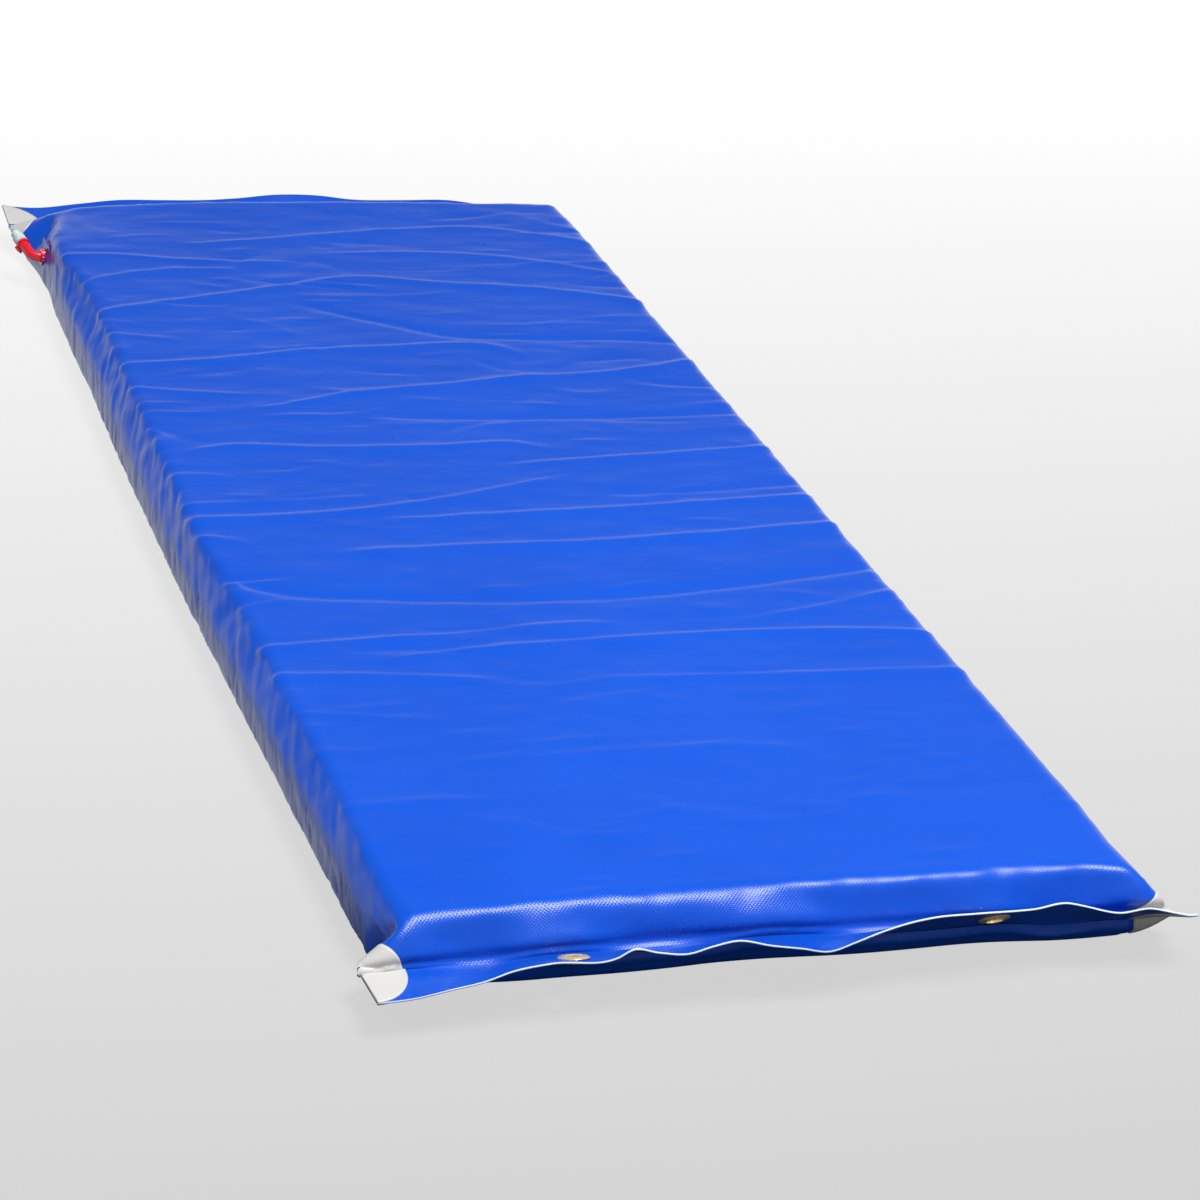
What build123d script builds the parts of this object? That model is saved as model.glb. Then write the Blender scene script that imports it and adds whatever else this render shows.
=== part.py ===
"""Foam-cored air mat: a welded vinyl-coated cover round an open-cell foam slab.

The two end seams are welded flat, so the cover's corners stand out as ears past the slab.
A flange with brass eyelets runs along each end seam, and a folded round patch closes each
seam end. A bent filler valve with a twist mouthpiece leaves the left side wall near the head.

Frame: origin on the floor under the middle of the mat. +Z is up, +Y runs to the head end
(the valve's end), and X runs across the mat. Millimetres.
"""

import os
from math import cos, pi, radians, sin

from build123d import *

# ---------------------------------------------------------------- driving dimensions
body_length = 1905.0
body_width = 762.0
body_height = 80.0
fabric = 0.9  # coated cloth, one layer
edge_radius = 16.0
flange_width = 50.0

# How far each flange lifts above level (degrees) at stations along the mat's width.
eyelet_spacing = 430.0
flat_half = 24.0  # the flange stays flat this far each side of an eyelet
eyelet_inner = eyelet_spacing / 2 - flat_half
eyelet_outer = eyelet_spacing / 2 + flat_half
foot_left_lift, foot_right_lift = 26.0, 44.0
head_eyelet_lift = 14.0
end_lift = 10.0
foot_lifts = [
    (-eyelet_outer, foot_left_lift),
    (-eyelet_inner, foot_left_lift),
    (0.0, 20.0),
    (eyelet_inner, foot_right_lift),
    (eyelet_outer, foot_right_lift),
]
head_lifts = [
    (-eyelet_outer, head_eyelet_lift),
    (-eyelet_inner, head_eyelet_lift),
    (0.0, 26.0),
    (eyelet_inner, head_eyelet_lift),
    (eyelet_outer, head_eyelet_lift),
]

# Flattening the cover at an end seam turns the side walls' height into extra width.
corner_saving = (4 - pi) * edge_radius  # rounded edges need less cloth than square ones
seam_width = body_width + body_height - corner_saving
seam_height = body_height / 2
seam_reach = 20.5  # seam line past the slab's nominal end
shoulder_inset = 12.0  # where the top edge starts to turn down, inside the nominal end
shoulder_drop = 6.0
shoulder_spread = 16.0
taper_length = 72.0  # the side walls start to taper this far inside the nominal end
weld_lip = 2.0  # solid weld between the air space and the flange

lap_margin = 45.0  # the top sheet turns under the mat this far
lap_cover = 20.0  # the base sheet stops this far inside the side wall

patch_radius = 50.0
patch_cloth = 0.9

foam_clearance = 0.15
foam_end_inset = 4.0  # blunt foam end, inside the seam's taper

# Brass eyelets
eyelet_offset = 24.0  # centre line from the seam
eyelet_bore = 8.0
eyelet_rim = 16.0
eyelet_wall = 0.7
eyelet_play = 0.05
eyelet_crown = 2.4
washer_thick = 1.6

# Filler valve: base in the left side wall
valve_y = 826.0
valve_z = 43.0
doubler_radius = 30.0
doubler_height = 40.0  # trimmed top and bottom to stay on the flat of the wall
gasket_thick = 1.0
gasket_radius = 18.0
base_flange_radius = 19.0
base_flange_thick = 2.0
spigot_radius = 8.9
spigot_reach = 6.0
nut_radius = 11.2
nut_height = 6.5
nut_teeth = 16
tooth_gap = 1.0
tube_radius = 7.2
tube_bore = 4.7
tube_lead = 6.8  # straight run out of the wall
tube_bend_radius = 14.0
tube_run = 20.8  # straight run after the bend
collar_radius = 8.6
collar_length = 3.4
lug_reach = 11.0
lug_width = 9.0
lug_length = 7.5
running_gap = 0.05

# Twist mouthpiece, along the tube's outlet
outlet_aim = Vector(-0.3, 0.905, 0.302).normalized()
seat_flange_radius = 7.4
seat_flange_thick = 1.5
neck_radius = 5.6
neck_bore = 3.7
neck_top = 13.0
post_radius = 2.0
post_top = 20.5
spoke_bottom, spoke_top = 1.5, 4.5
spoke_width = 1.4
seal_wire = 0.75
seal_height = 6.0
seal_centre_radius = neck_radius + running_gap + seal_wire
mouth_bottom = 1.7
mouth_radius = 8.4
mouth_skirt_top = 12.5
nozzle_bottom = 14.5
nozzle_radius = 6.6
mouth_top = 21.8
mouth_inside_top = 18.0
mouth_ribs = 18
rib_gap = 0.8

os.makedirs("parts", exist_ok=True)
seam_y = body_length / 2 + seam_reach


def across(y):
    """Plane across the mat at y, with local x along X and local y along Z."""
    return Plane(origin=(0, y, 0), x_dir=(1, 0, 0), z_dir=(0, -1, 0))


def flange_plane(end, lift, x=0.0):
    """Plane between a flange's two cloth layers: local y runs outward from the seam."""
    tilt = radians(lift)
    return Plane(
        origin=(x, end * seam_y, seam_height),
        x_dir=(end, 0, 0),
        z_dir=(0, -end * sin(tilt), cos(tilt)),
    )


def pillow(grow, end_inset=0.0):
    """The cover's outer solid without flanges, with every wall moved out by grow."""
    seam = (seam_y - end_inset, seam_width, 2 * fabric, seam_height)
    full_height = body_height - fabric
    middle = fabric + full_height / 2
    shoulder = (
        body_length / 2 - shoulder_inset,
        body_width + shoulder_spread,
        full_height - shoulder_drop,
        middle,
    )
    body = (body_length / 2 - taper_length, body_width, full_height, middle)
    rings = [(-y, w, h, z) for y, w, h, z in (seam, shoulder, body)]
    rings += [body, shoulder, seam]
    with BuildPart() as solid:
        for y, wide, high, level in rings:
            high = max(high + 2 * grow, 0.3)
            radius = min(edge_radius + grow, high * 0.45)
            with BuildSketch(across(y)):
                with Locations((0, level)):
                    RectangleRounded(wide + 2 * grow, high, radius)
        loft(ruled=True)
    return solid.part


def flange_slab(end, low, high, grow=0.0, start=-weld_lip, reach=flange_width):
    """One flange as a slab between two heights above its weld surface."""
    half = seam_width / 2 + grow
    lifts = foot_lifts if end < 0 else head_lifts
    with BuildPart() as slab:
        for x, lift in [(-half, end_lift), *lifts, (half, end_lift)]:
            out = Vector(0, end * cos(radians(lift)), sin(radians(lift)))
            up = Vector(0, -end * sin(radians(lift)), cos(radians(lift)))
            root = Vector(x, end * seam_y, seam_height)
            with BuildSketch(Plane(origin=root, x_dir=out, z_dir=out.cross(up))):
                with Locations(((start + reach) / 2, (low + high) / 2)):
                    Rectangle(reach - start, high - low)
        loft(ruled=True)
    return slab.part


def eyelet_planes(end):
    """Planes of one flange's two eyelets, on the weld surface."""
    lifts = (foot_left_lift, foot_right_lift) if end < 0 else 2 * (head_eyelet_lift,)
    planes = []
    for side, lift in zip((-1, 1), lifts):
        seam_spot = flange_plane(end, lift, side * eyelet_spacing / 2)
        centre = seam_spot.origin + seam_spot.y_dir * eyelet_offset
        planes.append(Plane(centre, x_dir=seam_spot.x_dir, z_dir=seam_spot.z_dir))
    return planes


def eyelet_holes(end):
    with BuildPart() as holes:
        for plane in eyelet_planes(end):
            with BuildSketch(plane.offset(-5)):
                Circle(eyelet_bore + eyelet_wall + eyelet_play)
            extrude(amount=10)
    return holes.part


outer = pillow(0)
cavity = pillow(-fabric, weld_lip)
outer_grown = pillow(fabric)

# ---------------------------------------------------------------- cover, top sheet
# Top, side walls and turned-under margins, with the upper layer of each flange.
valve_plane = Plane(
    origin=(-body_width / 2, valve_y, valve_z), x_dir=(0, 0, 1), z_dir=(-1, 0, 0)
)
with BuildPart() as top_sheet:
    add(outer)
    add(cavity, mode=Mode.SUBTRACT)
    with Locations((0, 0, seam_height / 2)):
        Box(
            body_width - 2 * lap_margin,
            3 * body_length,
            seam_height,
            mode=Mode.SUBTRACT,
        )
    for end in (-1, 1):
        add(flange_slab(end, 0, fabric))
        add(eyelet_holes(end), mode=Mode.SUBTRACT)
    with BuildSketch(valve_plane.offset(-5)):
        Circle(spigot_radius + running_gap)
    extrude(amount=10, mode=Mode.SUBTRACT)
top_sheet.part.label = "top_sheet"

# ---------------------------------------------------------------- cover, base sheet
# Underside panel, lapped outside the margins, with the lower layer of each flange.
with BuildPart() as base_sheet:
    add(outer_grown)
    add(outer, mode=Mode.SUBTRACT)
    with Locations((0, 0, seam_height / 2)):
        Box(
            body_width - 2 * lap_cover,
            3 * body_length,
            seam_height,
            mode=Mode.INTERSECT,
        )
    for end in (-1, 1):
        add(flange_slab(end, -fabric, 0))
    for end in (-1, 1):
        add(eyelet_holes(end), mode=Mode.SUBTRACT)
    add(top_sheet.part, mode=Mode.SUBTRACT)
base_sheet.part.label = "base_sheet"

# ---------------------------------------------------------------- foam slab
with BuildPart() as foam_core:
    add(pillow(-fabric - foam_clearance, weld_lip))
    with Locations((0, 0, body_height / 2)):
        Box(
            2 * seam_width,
            body_length - 2 * foam_end_inset,
            2 * body_height,
            mode=Mode.INTERSECT,
        )
    # pocket that keeps the valve's inner end clear of the foam
    with BuildSketch(valve_plane):
        Circle(doubler_radius + 2)
    extrude(amount=-12, mode=Mode.SUBTRACT)
foam_core.part.label = "foam_core"


# ---------------------------------------------------------------- corner patches
def corner_patch(side, end):
    """Round patch folded over one end of a seam, on the cover's outside."""
    centre = (side * seam_width / 2, end * seam_y)
    with BuildPart() as patch:
        add(outer_grown)
        add(flange_slab(end, -fabric - patch_cloth, fabric + patch_cloth, patch_cloth))
        with BuildSketch(Plane.XY.offset(-1)):
            with Locations(centre):
                Circle(patch_radius)
        extrude(amount=body_height + 2, mode=Mode.INTERSECT)
        add(outer, mode=Mode.SUBTRACT)
        add(flange_slab(end, -fabric, fabric), mode=Mode.SUBTRACT)
        add(base_sheet.part, mode=Mode.SUBTRACT)
        add(top_sheet.part, mode=Mode.SUBTRACT)
    return patch.part


# ---------------------------------------------------------------- eyelets and washers
def ring_profile(points_and_arcs):
    """Closed profile in the XZ plane, turned round Z into a ring."""
    with BuildPart() as ring:
        with BuildSketch(Plane.XZ):
            with BuildLine():
                for kind, *points in points_and_arcs:
                    (ThreePointArc if kind == "arc" else Polyline)(*points)
            make_face()
        revolve(axis=Axis.Z)
    return ring.part


lip_level = -fabric - washer_thick - 0.02
barrel = eyelet_bore + eyelet_wall
eyelet = ring_profile(
    [
        (
            "line",
            (eyelet_rim, fabric),
            (barrel, fabric),
            (barrel, lip_level),
            (barrel + 1.9, lip_level),
        ),
        (
            "arc",
            (barrel + 1.9, lip_level),
            (barrel + 0.9, lip_level - 1.2),
            (eyelet_bore, lip_level - 0.9),
        ),
        ("line", (eyelet_bore, lip_level - 0.9), (eyelet_bore, fabric + 1.3)),
        (
            "arc",
            (eyelet_bore, fabric + 1.3),
            (eyelet_bore + 3.2, fabric + eyelet_crown),
            (eyelet_rim, fabric),
        ),
    ]
)
washer = ring_profile(
    [
        (
            "line",
            (barrel + eyelet_play, -fabric - washer_thick),
            (barrel + eyelet_play, -fabric),
            (eyelet_rim, -fabric),
        ),
        (
            "arc",
            (eyelet_rim, -fabric),
            (eyelet_rim - 1.4, -fabric - 1.3),
            (barrel + 2.4, -fabric - washer_thick),
        ),
        (
            "line",
            (barrel + 2.4, -fabric - washer_thick),
            (barrel + eyelet_play, -fabric - washer_thick),
        ),
    ]
)


def on_flange(end, ring):
    """Two copies of a ring at a flange's eyelet holes."""
    with BuildPart() as pair:
        for plane in eyelet_planes(end):
            add(plane.location * ring)
    return pair.part


# ---------------------------------------------------------------- valve, wall fitting
wall = fabric
doubler_back = wall + fabric
gasket_back = doubler_back + gasket_thick
flange_back = gasket_back + base_flange_thick


def wall_ring(inner, outer_radius, low, high):
    """Flat ring on the valve's wall axis, between two distances out of the wall."""
    with BuildPart() as ring:
        with BuildSketch(valve_plane.offset(low)):
            Circle(outer_radius)
            Circle(inner, mode=Mode.SUBTRACT)
        extrude(amount=high - low)
    return ring.part


with BuildPart() as valve_doubler:
    add(wall_ring(spigot_radius + running_gap, doubler_radius, -doubler_back, -wall))
    # the disc stays on the flat of the side wall
    with Locations((-body_width / 2, valve_y, valve_z)):
        Box(40, 4 * doubler_radius, doubler_height, mode=Mode.INTERSECT)
valve_doubler.part.label = "valve_doubler"

with BuildPart() as valve_gasket:
    add(
        wall_ring(
            spigot_radius + running_gap, gasket_radius, -gasket_back, -doubler_back
        )
    )
valve_gasket.part.label = "valve_gasket"

with BuildPart() as valve_base:
    with BuildSketch(valve_plane.offset(-flange_back)):
        Circle(base_flange_radius)
    extrude(amount=base_flange_thick)
    with BuildSketch(valve_plane.offset(-flange_back)):
        Circle(spigot_radius)
    extrude(amount=flange_back + spigot_reach)
    with BuildSketch(valve_plane.offset(-flange_back)):
        Circle(tube_bore)
    extrude(amount=flange_back + spigot_reach, mode=Mode.SUBTRACT)
    with BuildSketch(valve_plane.offset(-1)):
        Circle(tube_radius)
    extrude(amount=spigot_reach + 1, mode=Mode.SUBTRACT)
valve_base.part.label = "valve_base"

with BuildPart() as valve_clamp_nut:
    with BuildSketch(valve_plane):
        Circle(nut_radius)
        with PolarLocations(nut_radius + tooth_gap / 2, nut_teeth):
            Circle(tooth_gap, mode=Mode.SUBTRACT)
        Circle(spigot_radius + running_gap, mode=Mode.SUBTRACT)
    extrude(amount=nut_height)
valve_clamp_nut.part.label = "valve_clamp_nut"

# ---------------------------------------------------------------- valve, bent tube
wall_out = Vector(-1, 0, 0)
lead_start = Vector(-body_width / 2, valve_y, valve_z) - wall_out * 1.0
lead_end = Vector(-body_width / 2, valve_y, valve_z) + wall_out * tube_lead
bend_side = (outlet_aim - wall_out * outlet_aim.dot(wall_out)).normalized()
bend_angle = radians(wall_out.get_angle(outlet_aim))
bend_centre = lead_end + bend_side * tube_bend_radius


def on_bend(angle):
    """Point on the tube's centre line after turning by angle."""
    return (
        bend_centre
        - bend_side * (tube_bend_radius * cos(angle))
        + wall_out * (tube_bend_radius * sin(angle))
    )


bend_end = on_bend(bend_angle)
tube_end = bend_end + outlet_aim * tube_run
lug_side = (Vector(-0.7, 0, -0.7) - outlet_aim * Vector(-0.7, 0, -0.7).dot(outlet_aim))
lug_side = lug_side.normalized()

with BuildPart() as valve_elbow:
    with BuildLine() as centre_line:
        Line(lead_start, lead_end)
        ThreePointArc(lead_end, on_bend(bend_angle / 2), bend_end)
        Line(bend_end, tube_end)
    with BuildSketch(Plane(origin=lead_start, z_dir=wall_out)):
        Circle(tube_radius)
        Circle(tube_bore, mode=Mode.SUBTRACT)
    sweep(path=centre_line.wire())
    collar_plane = Plane(origin=tube_end - outlet_aim * collar_length, z_dir=outlet_aim)
    with BuildSketch(collar_plane):
        Circle(collar_radius)
        Circle(tube_radius - 0.4, mode=Mode.SUBTRACT)
    extrude(amount=collar_length)
    # finger lug on the collar's outer side
    with BuildSketch(Plane(origin=tube_end - outlet_aim * lug_length, z_dir=outlet_aim,
                           x_dir=lug_side)):
        with Locations(((tube_radius + lug_reach) / 2, 0)):
            Rectangle(lug_reach - tube_radius + 1, lug_width)
    extrude(amount=lug_length)
valve_elbow.part.label = "valve_elbow"

# ---------------------------------------------------------------- twist mouthpiece
outlet_plane = Plane(origin=tube_end, x_dir=(1, 0, 0.3), z_dir=outlet_aim)


def outlet_disc(radius, low, high, bore=None):
    """Round solid on the outlet axis, between two distances past the tube's end."""
    with BuildPart() as disc:
        with BuildSketch(outlet_plane.offset(low)):
            Circle(radius)
            if bore:
                Circle(bore, mode=Mode.SUBTRACT)
        extrude(amount=high - low)
    return disc.part


with BuildPart() as valve_seat:
    add(outlet_disc(tube_bore, -9, 0.1, neck_bore))
    add(outlet_disc(seat_flange_radius, 0, seat_flange_thick, neck_bore))
    add(outlet_disc(neck_radius, 0, neck_top, neck_bore))
    with BuildSketch(outlet_plane.offset(spoke_bottom)):
        with PolarLocations(neck_bore / 2 + 0.5, 3):
            Rectangle(neck_bore + 0.6, spoke_width)
    extrude(amount=spoke_top - spoke_bottom)
    add(outlet_disc(post_radius, spoke_bottom, post_top))
valve_seat.part.label = "valve_seat"

with BuildPart() as valve_seal:
    with BuildSketch(Plane(origin=outlet_plane.origin, x_dir=outlet_plane.x_dir,
                           z_dir=-outlet_plane.y_dir)):
        with Locations((seal_centre_radius, seal_height)):
            Circle(seal_wire)
    revolve(axis=Axis(outlet_plane.origin, outlet_plane.z_dir))
valve_seal.part.label = "valve_seal"

groove_half = seal_wire + running_gap
with BuildPart() as valve_mouthpiece:
    with BuildSketch(outlet_plane.offset(mouth_bottom)):
        Circle(mouth_radius)
        with PolarLocations(mouth_radius + rib_gap / 2, mouth_ribs):
            Circle(rib_gap, mode=Mode.SUBTRACT)
    extrude(amount=mouth_skirt_top - mouth_bottom)
    with BuildSketch(outlet_plane.offset(mouth_skirt_top)):
        Circle(mouth_radius - 0.6)
    with BuildSketch(outlet_plane.offset(nozzle_bottom)):
        Circle(nozzle_radius)
    loft()
    with BuildSketch(outlet_plane.offset(nozzle_bottom)):
        Circle(nozzle_radius)
    extrude(amount=mouth_top - nozzle_bottom)
    add(
        outlet_disc(neck_radius + running_gap, mouth_bottom - 1, neck_top + 0.5),
        mode=Mode.SUBTRACT,
    )
    add(outlet_disc(neck_bore, neck_top, mouth_inside_top), mode=Mode.SUBTRACT)
    add(
        outlet_disc(post_radius + running_gap, mouth_inside_top - 1, mouth_top + 1),
        mode=Mode.SUBTRACT,
    )
    add(
        outlet_disc(
            seal_centre_radius + groove_half,
            seal_height - groove_half,
            seal_height + groove_half,
        ),
        mode=Mode.SUBTRACT,
    )
valve_mouthpiece.part.label = "valve_mouthpiece"

# ---------------------------------------------------------------- write the pieces
pieces = {
    name.part.label: name.part
    for name in (
        top_sheet,
        base_sheet,
        foam_core,
        valve_doubler,
        valve_gasket,
        valve_base,
        valve_clamp_nut,
        valve_elbow,
        valve_seat,
        valve_seal,
        valve_mouthpiece,
    )
}
for end_name, end in (("foot", -1), ("head", 1)):
    pieces[f"{end_name}_eyelets"] = on_flange(end, eyelet)
    pieces[f"{end_name}_washers"] = on_flange(end, washer)
    for side_name, side in (("left", -1), ("right", 1)):
        pieces[f"{end_name}_{side_name}_patch"] = corner_patch(side, end)
for label, piece in pieces.items():
    piece.label = label
    export_step(piece, f"parts/{label}.step")
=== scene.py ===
import math

import bmesh
import bpy
import numpy as np
from mathutils import Matrix, Vector


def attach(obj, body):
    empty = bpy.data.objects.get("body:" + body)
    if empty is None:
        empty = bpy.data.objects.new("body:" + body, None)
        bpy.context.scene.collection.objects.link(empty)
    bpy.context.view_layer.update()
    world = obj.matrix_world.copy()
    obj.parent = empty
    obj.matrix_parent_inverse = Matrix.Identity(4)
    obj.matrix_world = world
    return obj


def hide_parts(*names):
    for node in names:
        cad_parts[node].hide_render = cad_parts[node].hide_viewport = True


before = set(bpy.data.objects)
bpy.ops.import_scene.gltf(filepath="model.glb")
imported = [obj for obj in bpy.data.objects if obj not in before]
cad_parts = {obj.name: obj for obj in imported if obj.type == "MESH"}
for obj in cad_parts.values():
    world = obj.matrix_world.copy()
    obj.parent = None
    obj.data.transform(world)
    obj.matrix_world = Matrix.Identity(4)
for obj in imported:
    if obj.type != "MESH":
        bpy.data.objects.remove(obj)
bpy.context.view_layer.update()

# ------------------------------------------------------------------ sizes (mm in this part)
SLAB_W, SLAB_H = 762.0, 80.0
FOAM_END = 948.0  # half the foam's length
EDGE_R = 17.0
TUBE = 2 * (SLAB_W + SLAB_H) - 8 * EDGE_R * (1 - math.pi / 4)  # round the slab
SEAM_Y = 973.0  # flange's root line
CLOTH = 0.9
FLANGE = 50.0
WELD = 8.0  # how far the weld reaches in from the flange's root line
END_CLOTH = 52.0  # cloth over each end, from the flat top to the weld
TIPS = {-1: (-408.0, 424.0), 1: (-407.0, 405.0)}  # ends of each seam, left and right
rng = np.random.default_rng(11)


def smooth(t):
    t = np.clip(t, 0, 1)
    return t * t * (3 - 2 * t)


def curve(points, x):
    """Smooth curve through (x, value) points, flat at both ends."""
    px, py = np.array(points, float).T
    x = np.clip(x, px[0], px[-1])
    m = np.gradient(py, px)
    k = np.clip(np.searchsorted(px, x) - 1, 0, len(px) - 2)
    h = px[k + 1] - px[k]
    t = (x - px[k]) / h
    return (
        py[k] * (1 + 2 * t) * (1 - t) ** 2
        + h * m[k] * t * (1 - t) ** 2
        + py[k + 1] * t * t * (3 - 2 * t)
        + h * m[k + 1] * t * t * (t - 1)
    )


# ------------------------------------------------------------------ seam and flange lines
FOOT_SEAM_Z = [
    (-414, 31), (-365, 34), (-285, 35), (-245, 40), (-180, 40), (-100, 40), (-35, 42.5),
    (60, 38.5), (110, 39), (185, 40), (245, 40), (290, 35), (345, 34), (414, 33),
]
HEAD_SEAM_Z = [
    (-414, 38), (-360, 36), (-300, 39), (-245, 40), (-180, 40), (0, 43), (180, 40),
    (245, 40), (320, 37), (414, 36),
]
# height of the flange's outer edge above the floor
FOOT_EDGE_Z = [
    (-414, 37), (-375, 39), (-339, 45), (-307, 50), (-281, 57), (-245, 62), (-180, 62.5),
    (-165, 68), (-140, 64), (-112, 61), (-85, 66), (-61, 69), (-28, 63), (3, 58), (31, 53),
    (57, 59), (80, 65), (105, 70), (140, 74), (185, 74.7), (245, 74.7), (285, 75),
    (301, 72), (337, 65), (375, 66), (395, 62), (414, 58),
]
HEAD_EDGE_Z = [
    (-414, 44), (-360, 40), (-300, 46), (-245, 52), (-180, 52), (-120, 52), (-70, 55),
    (-15, 61), (45, 60), (100, 53), (180, 52), (245, 52), (300, 44), (360, 34), (414, 30),
]


def seam_z(end, x):
    return curve(FOOT_SEAM_Z if end < 0 else HEAD_SEAM_Z, x)


def edge_z(end, x):
    return curve(FOOT_EDGE_Z if end < 0 else HEAD_EDGE_Z, x)


def flange_frame(end, x):
    """Root points, outward directions and upward directions along a flange."""
    z0, z1 = seam_z(end, x), edge_z(end, x)
    rise = np.clip((z1 - z0) / FLANGE, -0.9, 0.9)
    run = np.sqrt(1 - rise**2)
    zero = np.zeros_like(x)
    out = np.stack([zero, end * run, rise], -1)
    up = np.stack([zero, -end * rise, run], -1)
    root = np.stack([x, zero + end * SEAM_Y, z0 * (SLAB_H - CLOTH) / SLAB_H + CLOTH], -1)
    return root, out, up


def weld_line(end, x):
    """Where the cover's two sheets meet, at x."""
    root, out, _ = flange_frame(end, x)
    line = root - out * WELD
    line[..., 2] -= CLOTH
    return line


def seam_x(end, s):
    """Where a place s mm round the tube comes along a seam."""
    across = np.where(s <= TUBE / 2, s, TUBE - s) / (TUBE / 2)
    left, right = TIPS[end]
    return left + (right - left) * across


# ------------------------------------------------------------------ cloth cover simulation
def slab_outline(n):
    """n points round the slab's cross-section, from the left mid-side up over the top."""
    w, h, r = SLAB_W / 2, SLAB_H / 2, EDGE_R
    quarter = np.linspace(0, math.pi / 2, 60)
    corners = []
    for cx, cz, start in (
        (-w + r, SLAB_H - r, math.pi), (w - r, SLAB_H - r, math.pi / 2),
        (w - r, r, 0.0), (-w + r, r, -math.pi / 2),
    ):
        a = start - quarter
        corners.append(np.stack([cx + r * np.cos(a), cz + r * np.sin(a)], 1))
    p = np.concatenate([[(-w, h)], *corners, [(-w, h)]])
    d = np.r_[0, np.cumsum(np.linalg.norm(np.diff(p, axis=0), axis=1))]
    s = np.arange(n) / n * d[-1]
    return np.stack([np.interp(s, d, p[:, 0]), np.interp(s, d, p[:, 1])], 1)


def cover_start(nc, nr, slack):
    """The tube of cloth before it settles, with its row and column spacings."""
    outline = slab_outline(nc)
    s = np.arange(nc) / nc * TUBE
    end_run, wall_run = END_CLOTH + 2, 0.55
    knee = SEAM_Y - WELD - end_run * wall_run
    length = (2 * knee + 2 * END_CLOTH) * (1 + slack)
    b = np.arange(nr + 1) / nr * length
    e = np.minimum(b, length - b)
    y = np.where(
        e < end_run,
        SEAM_Y - WELD - e * wall_run,
        knee - (e - end_run) * knee / (length / 2 - end_run),
    ) * np.sign(b - length / 2)
    w = (1 - smooth(e / end_run))[:, None]
    cloth = np.zeros((nr + 1, nc, 3), np.float32)
    for end in (-1, 1):
        weld = weld_line(end, seam_x(end, s))
        here = np.sign(y) == end
        cloth[here, :, 0] = outline[:, 0] * (1 - w[here]) + weld[:, 0] * w[here]
        cloth[here, :, 2] = outline[:, 1] * (1 - w[here]) + weld[:, 2] * w[here]
        cloth[here, :, 1] = y[here, None]
        cloth[0 if end < 0 else -1] = weld
    return cloth, length / nr, TUBE / nc


# how far the foam's corners draw in at each end, and where that starts: (mm, |y|)
CORNER_CUTS = {(1, -1): (48, 735), (1, 1): (4, 860), (-1, -1): (12, 840), (-1, 1): (6, 860)}


def foam_half_width(x, y):
    """Half the foam's width at y, on the side that x is on."""
    total = np.full(np.broadcast(x, y).shape, SLAB_W / 2)
    for (end, side), (cut, start) in CORNER_CUTS.items():
        here = (np.sign(y) == end) & (np.sign(x) == side)
        t = np.clip((np.abs(y) - start) / (FOAM_END - start), 0, 1)
        total = total - np.where(here, cut * t * t, 0)
    return total


def out_of_foam(p):
    """Pushes points that are inside the foam slab back to its rounded surface."""
    half = np.empty_like(p)
    half[..., 0] = foam_half_width(p[..., 0], p[..., 1])
    half[..., 1] = FOAM_END
    half[..., 2] = SLAB_H / 2
    q0 = p - np.array([0, 0, SLAB_H / 2], np.float32)
    q = np.abs(q0) - (half - EDGE_R)
    qm = np.maximum(q, 0)
    n = np.sqrt((qm * qm).sum(-1))
    core = n > 1e-6
    grow = np.where(core & (n < EDGE_R), (EDGE_R - n) / np.maximum(n, 1e-6), 0)
    move = qm * grow[..., None]
    deep = ~core
    if deep.any():
        k = q[deep].argmax(-1)
        m = np.zeros((len(k), 3), np.float32)
        m[np.arange(len(k)), k] = EDGE_R - q[deep][np.arange(len(k)), k]
        move[deep] = m
    return p + np.sign(q0) * move


def pull(p, a, b, rest, inv):
    """Moves points a and b towards their rest distance, by their shares of freedom."""
    d = p[b] - p[a]
    size = np.sqrt((d * d).sum(-1))
    wa, wb = inv[a], inv[b]
    f = (size - rest) / np.maximum(size, 1e-6) / (wa + wb + 1e-6)
    d *= f[..., None]
    p[a] += d * wa[..., None]
    p[b] -= d * wb[..., None]


def spread_out(a):
    """Sum of the four neighbours' differences; the end rows use their own row only."""
    lap = np.roll(a, 1, 1) + np.roll(a, -1, 1) - 2 * a
    lap[1:-1] += a[2:] + a[:-2] - 2 * a[1:-1]
    return lap


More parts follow.
